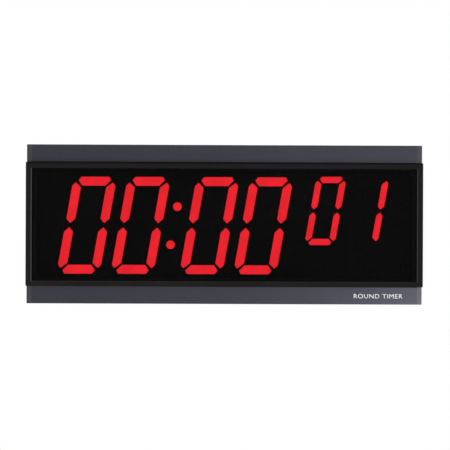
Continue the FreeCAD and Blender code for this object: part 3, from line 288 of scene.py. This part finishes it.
# material slot -> material
materials = {
    # dark slate anodised aluminium, drawn along its length
    "rail": surface(
        "rail_anodised", colour=(0.041, 0.0412, 0.0535), rough=0.42, metal=0.25, spec=0.22,
        vary=0.12, rough_vary=0.06, patch=6.0, grain=4200.0, stretch=(0.004, 1, 1), bump=0.16,
        depth=0.03 * MM, edge=0.2 * MM),
    "end_cap": surface(
        "end_cap_moulded", colour=(0.043, 0.0435, 0.049), rough=0.50, spec=0.25, vary=0.12,
        grain=1800.0, bump=0.4, edge=0.3 * MM),
    "bezel": surface(
        "bezel_black", colour=(0.0108, 0.0092, 0.0093), rough=0.42, spec=0.14, vary=0.25,
        grain=2400.0, bump=0.35, depth=0.04 * MM, edge=0.3 * MM),
    # painted highlight: the side lip slopes are twice as light as the bezel, and a little glossier
    "bezel_lip_painted_highlight": surface(
        "bezel_lip_painted_highlight", colour=(0.022, 0.021, 0.021), rough=0.30, vary=0.15, rough_vary=0.08,
        grain=1600.0, bump=0.15, depth=0.03 * MM, edge=0.2 * MM),
    # painted shade: near-black, barely reflecting material for the top rim fillet, drawing the
    # shadowed gap under the upper rail
    "bezel_rim_painted_shade": surface(
        "bezel_rim_painted_shade", colour=(0.0035, 0.0032, 0.0032), rough=0.7, spec=0.05, vary=0.2,
        grain=1600.0, depth=0.03 * MM, edge=0),
    "foam": surface(
        "foam_black", colour=(0.010, 0.010, 0.010), rough=0.9, spec=0.2, vary=0.4,
        grain=2400.0, bump=0.9, depth=0.2 * MM),
    "mask": surface(
        "mask_black", colour=(0.0035, 0.0032, 0.0032), rough=0.75, spec=0.15, vary=0.25,
        grain=2500.0, bump=0.1, edge=0),
    "reflector": surface(
        "reflector_white", colour=(0.80, 0.80, 0.77), rough=0.45, vary=0.04, grain=1800.0,
        bump=0.15),
    "led": surface(
        "led_epoxy", colour=(0.85, 0.70, 0.35), rough=0.2, vary=0.15, grain=2500.0, bump=0.1,
        mottle=dict(colour=(0.9, 0.9, 0.8), scale=900.0, amount=0.6)),
    "board": surface(
        "board_green", colour=(0.010, 0.080, 0.030), rough=0.32, vary=0.12, grain=700.0,
        bump=0.15, depth=0.03 * MM),
    "chip": surface(
        "chip_black", colour=(0.016, 0.016, 0.018), rough=0.55, vary=0.2, grain=3500.0,
        bump=0.3),
    "capacitor": surface(
        "capacitor_sleeve", colour=(0.012, 0.018, 0.075), rough=0.25, vary=0.15,
        grain=1200.0, bump=0.15),
    "crystal_can": surface(
        "crystal_can", colour=(0.60, 0.60, 0.60), rough=0.25, metal=1.0, vary=0.06,
        grain=2400.0, stretch=(0.05, 1, 1)),
    "heat_sink": surface(
        "heat_sink_black", colour=(0.025, 0.025, 0.027), rough=0.45, metal=0.6, vary=0.15,
        grain=3000.0, stretch=(1, 1, 0.03)),
    "connector": surface(
        "connector_nylon", colour=(0.72, 0.68, 0.56), rough=0.45, vary=0.06, bump=0.12),
    "infrared": surface(
        "infrared_epoxy", colour=(0.02, 0.006, 0.012), rough=0.15, vary=0.2, grain=900.0,
        bump=0.05),
    "screw": surface(
        "screw_zinc", colour=(0.52, 0.53, 0.54), rough=0.30, metal=1.0, vary=0.12,
        grain=2200.0, edge=0.15 * MM,
        mottle=dict(colour=(0.36, 0.36, 0.34), scale=600.0, amount=0.5)),
    "cover": surface(
        "cover_black", colour=(0.017, 0.017, 0.018), rough=0.55, vary=0.22, rough_vary=0.08,
        patch=9.0, grain=1700.0, bump=0.55, depth=0.08 * MM, edge=0.4 * MM),
    "bumper": surface(
        "bumper_rubber", colour=(0.013, 0.013, 0.013), rough=0.75, spec=0.3, vary=0.3,
        grain=1400.0, bump=0.3, edge=0.4 * MM),
    "plate": surface(
        "plate_powder_coat", colour=(0.050, 0.050, 0.053), rough=0.42, vary=0.2, grain=750.0,
        bump=0.4, depth=0.07 * MM, edge=0.3 * MM, wear=(0.35, 0.35, 0.36)),
    "tray": surface(
        "tray_black", colour=(0.015, 0.015, 0.016), rough=0.50, vary=0.22, grain=2300.0,
        bump=0.4, edge=0.3 * MM),
    "button": surface(
        "button_grey", colour=(0.085, 0.085, 0.092), rough=0.45, vary=0.12, grain=2600.0,
        bump=0.3, edge=0.3 * MM),
    "button_start": surface(
        "button_red", colour=(0.48, 0.018, 0.020), rough=0.40, vary=0.12, grain=2600.0,
        bump=0.3, edge=0.3 * MM),
    "spring": surface(
        "spring_wire", colour=(0.58, 0.58, 0.58), rough=0.25, metal=1.0, grain=3000.0,
        edge=0),
    "switch": surface(
        "switch_black", colour=(0.02, 0.02, 0.02), rough=0.45, vary=0.2, grain=2500.0,
        bump=0.3),
    "rocker": surface(
        "rocker_black", colour=(0.012, 0.012, 0.013), rough=0.20, vary=0.2, rough_vary=0.05,
        bump=0.06, coat=0.3, edge=0.3 * MM),
    "nut": surface(
        "nut_nickel", colour=(0.62, 0.60, 0.56), rough=0.25, metal=1.0, grain=2000.0),
    "basket": surface(
        "basket_steel", colour=(0.42, 0.42, 0.43), rough=0.35, metal=1.0, vary=0.12,
        grain=1800.0),
    "magnet": surface(
        "magnet_ferrite", colour=(0.045, 0.045, 0.047), rough=0.6, vary=0.25, bump=0.5),
    "surround": surface(
        "surround_rubber", colour=(0.018, 0.018, 0.018), rough=0.65, vary=0.2, grain=1800.0),
    "cone": surface(
        "cone_paper", colour=(0.03, 0.028, 0.026), rough=0.8, vary=0.35, grain=1600.0,
        bump=0.7, depth=0.1 * MM,
        mottle=dict(colour=(0.07, 0.065, 0.06), scale=900.0, amount=0.4)),
    "ribbon": surface(
        "ribbon_grey", colour=(0.30, 0.31, 0.33), rough=0.5, vary=0.18, grain=800.0,
        stretch=(1, 0.02, 0.02), bump=0.7, depth=0.2 * MM),
    "wire": surface(
        "wire_red", colour=(0.42, 0.015, 0.015), rough=0.4, bump=0.1, edge=0),
    "legend": surface(
        "legend_white", colour=(0.80, 0.80, 0.80), rough=0.5, vary=0.04, grain=3000.0,
        bump=0.1, edge=0),
    "lens": smoked_lens(),
    "segment": lit_segment(colour=(0.92, 0.0150, 0.0260), strength=2.45),
}
# painted shade: the bezel's top rim goes dark, standing in for the gap's shadow under the upper
# rail
paint_gap_shade(materials["bezel"], z_low=BEZEL_TOP - 2.1 * MM, z_high=BEZEL_TOP - 1.4 * MM,
         colour=(0.0030, 0.0028, 0.0028))
board_print(materials["board"], pitch=PAD_PITCH, pad_half=0.19, pad_rarity=0.74,
            copper_colour=(0.020, 0.150, 0.055), pad_colour=(0.46, 0.45, 0.41))
unlit_segment = surface("segment_unlit", colour=(0.004, 0.0028, 0.0028), rough=0.6, spec=0.15,
                        vary=0.2, bump=0.1, edge=0)
black_wire = surface("wire_black", colour=(0.015, 0.015, 0.015), rough=0.4, vary=0.15,
                     bump=0.1, edge=0)

slot_of = {part["node"]: part.get("material_slot") or part["node"]
           for part in frame["record"]["subparts"]}
for name, piece in pieces.items():
    piece.data.materials.clear()
    piece.data.materials.append(materials[slot_of[name]])


# ------------------------------------------------- second materials on pieces
def islands(mesh):
    """The separate solids of a mesh, as lists of polygon indices."""
    parent = list(range(len(mesh.vertices)))

    def root(i):
        while parent[i] != i:
            parent[i] = parent[parent[i]]
            i = parent[i]
        return i

    first_at = {}
    for vertex in mesh.vertices:
        place = tuple(round(c, 6) for c in vertex.co)
        parent[root(vertex.index)] = root(first_at.setdefault(place, vertex.index))
    for polygon in mesh.polygons:
        first = root(polygon.vertices[0])
        for index in polygon.vertices[1:]:
            parent[root(index)] = first
    solids = {}
    for polygon in mesh.polygons:
        solids.setdefault(root(polygon.vertices[0]), []).append(polygon.index)
    return list(solids.values())


def middle_of(mesh, solid):
    points = [mesh.vertices[v].co for p in solid for v in mesh.polygons[p].vertices]
    low = Vector([min(p[axis] for p in points) for axis in range(3)])
    high = Vector([max(p[axis] for p in points) for axis in range(3)])
    return (low + high) / 2


def recolour_solids(mesh, material, chosen):
    """Gives a second material to the solids whose middle is chosen."""
    mesh.materials.append(material)
    for solid in islands(mesh):
        if chosen(middle_of(mesh, solid)):
            for index in solid:
                mesh.polygons[index].material_index = 1


def paint_bezel_highlight_and_shade():
    """Painted highlight on the forward-facing slopes at the sides, in a lighter and glossier lip
    colour; painted shade on the top rim, in a dark matt edge colour.
    """
    mesh = pieces["front_bezel"].data
    mesh.materials.append(materials["bezel_lip_painted_highlight"])
    mesh.materials.append(materials["bezel_rim_painted_shade"])
    for polygon in mesh.polygons:
        normal = polygon.normal
        # the top rim fillet takes the painted shade
        if normal.z > 0.25 and abs(polygon.center.z - BEZEL_TOP) < 0.8 * MM:
            polygon.material_index = 2
        # the side lip slopes take the painted highlight
        if -0.95 < normal.y < -0.30 and abs(normal.x) > 0.3:
            polygon.material_index = 1


def darken_segments(digit, is_one):
    """A 0 leaves its middle bar dark; a 1 lights only its two right-hand segments."""
    low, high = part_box(digit + "_segments")
    middle_x, middle_z = (low.x + high.x) / 2, (low.z + high.z) / 2
    half_height = (high.z - low.z) / 2

    def is_dark(middle):
        up = (middle.z - middle_z) / half_height
        right = (middle.x - middle_x) / half_height - DIGIT_SLANT * up
        middle_bar = abs(up) < 0.05
        return middle_bar or (is_one and (abs(up) > 0.8 or right < 0))

    recolour_solids(pieces[digit + "_segments"].data, unlit_segment, is_dark)


def is_black_lead(middle):
    """The second lead of each pair, by its place along X in mm."""
    x = middle.x / MM
    return x > 160 or 140 < x < 150 or -137 < x < 0


paint_bezel_highlight_and_shade()
# the display reads 00:00 and round 01
for group in ("minutes", "seconds", "round"):
    for place in ("tens", "ones"):
        digit = f"{group}_{place}"
        darken_segments(digit, is_one=digit == "round_ones")
recolour_solids(pieces["wire_leads"].data, black_wire, is_black_lead)


# ------------------------------------------------------------- mesh helpers
def outward(bm):
    """Turns the faces of each closed island outward."""
    bm.normal_update()
    bmesh.ops.recalc_face_normals(bm, faces=bm.faces[:])
    left = set(bm.faces)
    while left:
        waiting, island = [left.pop()], []
        while waiting:
            face = waiting.pop()
            island.append(face)
            for edge in face.edges:
                for other in edge.link_faces:
                    if other in left:
                        left.remove(other)
                        waiting.append(other)
        base = island[0].verts[0].co.copy()
        volume = 0.0
        for face in island:
            arms = [vert.co - base for vert in face.verts]
            volume += sum(arms[0].dot(a.cross(b)) for a, b in zip(arms[1:], arms[2:]))
        if volume < 0:
            for face in island:
                face.normal_flip()


def mesh_object(name, bm, material, smooth=False):
    mesh = bpy.data.meshes.new(name)
    outward(bm)
    bm.normal_update()
    bm.to_mesh(mesh)
    bm.free()
    mesh.materials.append(material)
    if smooth:
        for polygon in mesh.polygons:
            polygon.use_smooth = True
    made = bpy.data.objects.new(name, mesh)
    bpy.context.scene.collection.objects.link(made)
    return made


def bridge(bm, first, second):
    """Quads between two closed rows of vertices."""
    for i in range(len(first)):
        k = (i + 1) % len(first)
        bm.faces.new((first[i], first[k], second[k], second[i]))


# ----------------------------------------------------------- return springs
def coil(name, x, y, z_low, z_high, radius, wire, turns, steps_per_turn=28, sides=10):
    """A closed-end compression spring swept round a helix."""
    bm = bmesh.new()
    steps = int(turns * steps_per_turn)
    rings = []
    for i in range(steps + 1):
        t = i / steps
        angle = 2 * math.pi * turns * t
        # the end turns lie flat, and the pitch is taken up between them
        climb = min(1.0, max(0.0, (t * turns - 0.45) / (turns - 0.9)))
        z = z_low + wire + (z_high - z_low - 2 * wire) * climb
        centre = Vector((x + radius * math.cos(angle), y + radius * math.sin(angle), z))
        out = Vector((math.cos(angle), math.sin(angle), 0))
        ring = []
        for k in range(sides):
            turn = 2 * math.pi * k / sides
            up = Vector((0, 0, 1)) * (wire * math.sin(turn))
            ring.append(bm.verts.new(centre + out * (wire * math.cos(turn)) + up))
        rings.append(ring)
    for lower, upper in zip(rings, rings[1:]):
        bridge(bm, lower, upper)
    bm.faces.new(rings[0][::-1])
    bm.faces.new(rings[-1])
    return mesh_object(name, bm, materials["spring"], smooth=True)


def return_spring(stem):
    low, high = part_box(stem + "_button")
    x, y = (low.x + high.x) / 2, (low.y + high.y) / 2
    foot = low.z + SPRING_FOOT
    top = low.z + SPRING_TOP
    spring = coil(stem + "_return_spring", x, y, foot, top, radius=SPRING_RADIUS,
                  wire=SPRING_WIRE, turns=SPRING_TURNS)
    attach(spring, "case")
    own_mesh(spring)
    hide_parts(stem + "_spring")


for stem in ("mode", "up", "down", "start"):
    return_spring(stem)


# ------------------------------------------------------------ printed marks
# Outlines are in mm; a `place` function maps (u, v) and a rise in metres to the frame.
def printed(name, bm, body):
    mark = mesh_object(name, bm, materials["legend"])
    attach(mark, body)


def flat_mark(name, outlines, place, thick, body):
    """Closed outlines raised by a thickness."""
    bm = bmesh.new()
    for outline in outlines:
        low = [bm.verts.new(place(u, v, 0.0)) for u, v in outline]
        top = [bm.verts.new(place(u, v, thick)) for u, v in outline]
        bm.faces.new(low)
        bm.faces.new(top)
        bridge(bm, low, top)
    printed(name, bm, body)


def ring_mark(name, inner, outer, place, thick, body, steps=32):
    """A flat ring raised by a thickness; inner and outer are radii (u, v)."""
    bm = bmesh.new()
    angles = [2 * math.pi * i / steps for i in range(steps)]
    rows = [[bm.verts.new(place(radii[0] * math.cos(a), radii[1] * math.sin(a), rise))
             for a in angles]
            for radii, rise in ((inner, 0.0), (outer, 0.0), (outer, thick), (inner, thick))]
    for first, second in zip(rows, rows[1:] + rows[:1]):
        bridge(bm, first, second)
    printed(name, bm, body)


def bar(u, v, width, height):
    left, right = u - width / 2, u + width / 2
    bottom, top = v - height / 2, v + height / 2
    return [(left, bottom), (right, bottom), (right, top), (left, top)]


def on_underside(x, y, z):
    """Places a mark, read from below, on a face that looks down."""
    return lambda u, v, rise: Vector((x + u * MM, y - v * MM, z + MARK_SINK - rise))


def on_paddle(side):
    """Places a mark on the +X (1) or -X (-1) half of the tilted rocker paddle."""
    tilt = Matrix.Rotation(ROCKER_TILT, 4, "Y")
    normal = Vector((side * math.sin(PADDLE_SLOPE), 0, -math.cos(PADDLE_SLOPE)))

    def place(u, v, rise):
        along = PADDLE_MARK_REACH + u
        z = -PADDLE_DROP - along * math.tan(PADDLE_SLOPE)
        point = Vector((side * along, v, z)) + normal * (rise / MM)
        return ROCKER_PIVOT + tilt @ (point * MM)
    return place


BUTTON_MARKS = {
    # three lines
    "mode": [bar(0, v, width=3.2, height=0.5) for v in (1.15, 0, -1.15)],
    # plus
    "up": [[(-1.7, -0.3), (-0.3, -0.3), (-0.3, -1.7), (0.3, -1.7), (0.3, -0.3), (1.7, -0.3),
            (1.7, 0.3), (0.3, 0.3), (0.3, 1.7), (-0.3, 1.7), (-0.3, 0.3), (-1.7, 0.3)]],
    # minus
    "down": [bar(0, 0, width=3.4, height=0.6)],
    # triangle and two bars
    "start": [[(-2.6, -1.6), (0.0, 0), (-2.6, 1.6)],
              bar(1.05, 0, width=0.6, height=3.0), bar(2.25, 0, width=0.6, height=3.0)],
}
for stem, outlines in BUTTON_MARKS.items():
    low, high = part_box(stem + "_button")
    middle = (low + high) / 2
    flat_mark(stem + "_mark", outlines, on_underside(middle.x, middle.y, low.z),
              MARK_THICK, body=stem + "_button")

# five bars of growing height beside the volume slider
rail_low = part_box("bottom_rail")[0]
low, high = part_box("volume_slider")
flat_mark("volume_mark",
          [bar(-3.4 + 1.7 * i, 0.25 + 0.2 * i, width=0.6, height=0.5 + 0.4 * i)
           for i in range(5)],
          on_underside((low.x + high.x) / 2, VOLUME_MARK_Y, rail_low.z + PAN_RISE),
          VOLUME_MARK_THICK, body="case")

flat_mark("rocker_on_mark", [bar(0, 0, width=0.45, height=2.6)], on_paddle(1),
          MARK_THICK, body="power_rocker")
ring_mark("rocker_off_mark", inner=(0.75, 0.95), outer=(1.15, 1.4), place=on_paddle(-1),
          thick=MARK_THICK, body="power_rocker")


def rail_legend(text, x_left, x_right, z_middle, height, y):
    """Lettering fitted to a rectangle on the rail's front face."""
    curve = bpy.data.curves.new("legend", "FONT")
    curve.body = text
    curve.space_character = 1.12
    curve.resolution_u = 6
    source = bpy.data.objects.new("legend_source", curve)
    bpy.context.scene.collection.objects.link(source)
    bpy.context.view_layer.update()
    evaluated = source.evaluated_get(bpy.context.evaluated_depsgraph_get())
    mesh = bpy.data.meshes.new_from_object(evaluated)
    bpy.data.objects.remove(source)
    xs = [vertex.co.x for vertex in mesh.vertices]
    ys = [vertex.co.y for vertex in mesh.vertices]
    bm = bmesh.new()
    bm.from_mesh(mesh)
    for vert in bm.verts:
        across = (vert.co.x - min(xs)) / (max(xs) - min(xs))
        up = (vert.co.y - min(ys)) / (max(ys) - min(ys))
        vert.co = Vector((x_left + across * (x_right - x_left), y,
                          z_middle - height / 2 + up * height))
    extruded = bmesh.ops.extrude_face_region(bm, geom=bm.faces[:])
    for item in extruded["geom"]:
        if isinstance(item, bmesh.types.BMVert):
            item.co.y -= MARK_THICK
    printed("rail_legend", bm, "case")


# on the lower rail, right of centre
rail_legend("ROUND TIMER", x_left=0.1345, x_right=0.1850, z_middle=-0.0738, height=0.0046,
            y=rail_low.y)


# -------------------------------------------------------------------- stage
def floor_material():
    """Pale floor that fades to plain white far out and is clear from below."""
    material, tree, shader = new_material("floor_pale")
    coords = object_coords(tree)
    tint = mix_colour(tree, ranged(tree, noise(tree, coords, scale=3.0), to=(0, 1)),
                      (0.86, 0.86, 0.86), (0.89, 0.89, 0.89))
    put(tree, shader.inputs["Base Color"], tint)
    put(tree, shader.inputs["Roughness"],
        ranged(tree, noise(tree, coords, scale=40.0), to=(0.8, 0.95)))
    shader.inputs["Specular IOR Level"].default_value = 0.1
    distance = add(tree, "VectorMath", operation="LENGTH")
    put(tree, distance.inputs[0], coords)
    white = add(tree, "Emission", {"Color": (1, 1, 1, 1)})
    fade = add(tree, "MixShader")
    put(tree, fade.inputs[0],
        ranged(tree, distance.outputs["Value"], to=(0.0, 1.0), over=(0.5, 3.2)))
    put(tree, fade.inputs[1], shader.outputs["BSDF"])
    put(tree, fade.inputs[2], white.outputs["Emission"])
    sided = add(tree, "MixShader")
    put(tree, sided.inputs[0], add(tree, "NewGeometry").outputs["Backfacing"])
    put(tree, sided.inputs[1], fade.outputs["Shader"])
    put(tree, sided.inputs[2], add(tree, "BsdfTransparent").outputs["BSDF"])
    put(tree, tree.nodes["Material Output"].inputs["Surface"], sided.outputs["Shader"])
    return material


def build_floor():
    bpy.ops.mesh.primitive_circle_add(vertices=128, radius=3.9, fill_type="NGON",
                                      location=(0, 0, -0.60))
    floor = bpy.context.active_object
    floor.name = "floor"
    floor.data.materials.append(floor_material())
    floor.visible_glossy = False


def build_world():
    """White to the camera; as light, dim in front (-Y) and brighter towards the back."""
    world = bpy.data.worlds.new("studio")
    bpy.context.scene.world = world
    world.use_nodes = True
    tree = world.node_tree
    tree.nodes.clear()
    output = add(tree, "OutputWorld")
    background = add(tree, "Background")
    coords = add(tree, "TexCoord").outputs["Generated"]
    split = add(tree, "SeparateXYZ", {0: coords})
    strength = ranged(tree, split.outputs["Y"], to=(0.05, 0.80), over=(-1.0, -0.10))
    camera_ray = add(tree, "LightPath").outputs["Is Camera Ray"]
    colour = mix_colour(tree, camera_ray, (1, 1, 1), (1, 1, 1))
    seen = add(tree, "Mix", {"Factor": camera_ray, "A": strength, "B": 1.0},
               data_type="FLOAT")
    put(tree, background.inputs["Strength"], seen.outputs["Result"])
    put(tree, background.inputs["Color"], colour)
    put(tree, output.inputs["Surface"], background.outputs["Background"])


def area(name, place, size, watts, target=(0, 0, 0)):
    light = bpy.data.lights.new(name, "AREA")
    light.shape = "RECTANGLE"
    light.size, light.size_y = size
    light.energy = watts
    lamp = bpy.data.objects.new(name, light)
    bpy.context.scene.collection.objects.link(lamp)
    lamp.location = place
    aim = Vector(target) - Vector(place)
    lamp.rotation_euler = aim.to_track_quat("-Z", "Y").to_euler()
    lamp.visible_camera = False
    return lamp


def build_lights():
    key = area("key", place=(-1.3, -2.2, 1.7), size=(1.4, 1.4), watts=40)
    fill = area("fill", place=(2.55, -1.2, 1.25), size=(1.2, 1.2), watts=60)
    low = area("low", place=(0.31, -0.17, -0.205), size=(0.10, 0.06), watts=1.55,
               target=(0.19, -0.04, -0.08))
    lit = bpy.data.collections.new("lit_by_low")
    for name in ("top_rail", "bottom_rail", "left_end_cap", "right_end_cap"):
        lit.objects.link(pieces[name])
    low.light_linking.receiver_collection = lit
    area("back", place=(0.7, 2.6, 0.9), size=(1.6, 1.2), watts=42)
    # flat frontal light: the proud bezel casts no shadow on the rails beside it
    unshadowed = bpy.data.collections.new("casts_no_shadow")
    unshadowed.objects.link(pieces["front_bezel"])
    unshadowed.collection_objects[0].light_linking.link_state = "EXCLUDE"
    for lamp in (key, fill, low):
        lamp.light_linking.blocker_collection = unshadowed


def build_camera(scene):
    lens = bpy.data.cameras.new("camera")
    lens.sensor_width = SENSOR_WIDTH
    lens.lens = SENSOR_WIDTH * CAMERA_DISTANCE / VIEW_WIDTH
    lens.clip_end = 50.0
    camera = bpy.data.objects.new("camera", lens)
    scene.collection.objects.link(camera)
    camera.location = (0.0007, -0.0388 - CAMERA_DISTANCE, -0.0005)
    camera.rotation_euler = (math.radians(90), 0, 0)
    camera.rotation_euler.rotate_axis("Z", math.radians(0.22))  # slight roll
    scene.camera = camera


build_floor()
build_world()
build_lights()
scene = bpy.context.scene
scene.view_settings.view_transform = "Standard"
scene.view_settings.look = "None"
scene.view_settings.exposure = 0.0
build_camera(scene)


bpy.context.view_layer.update()
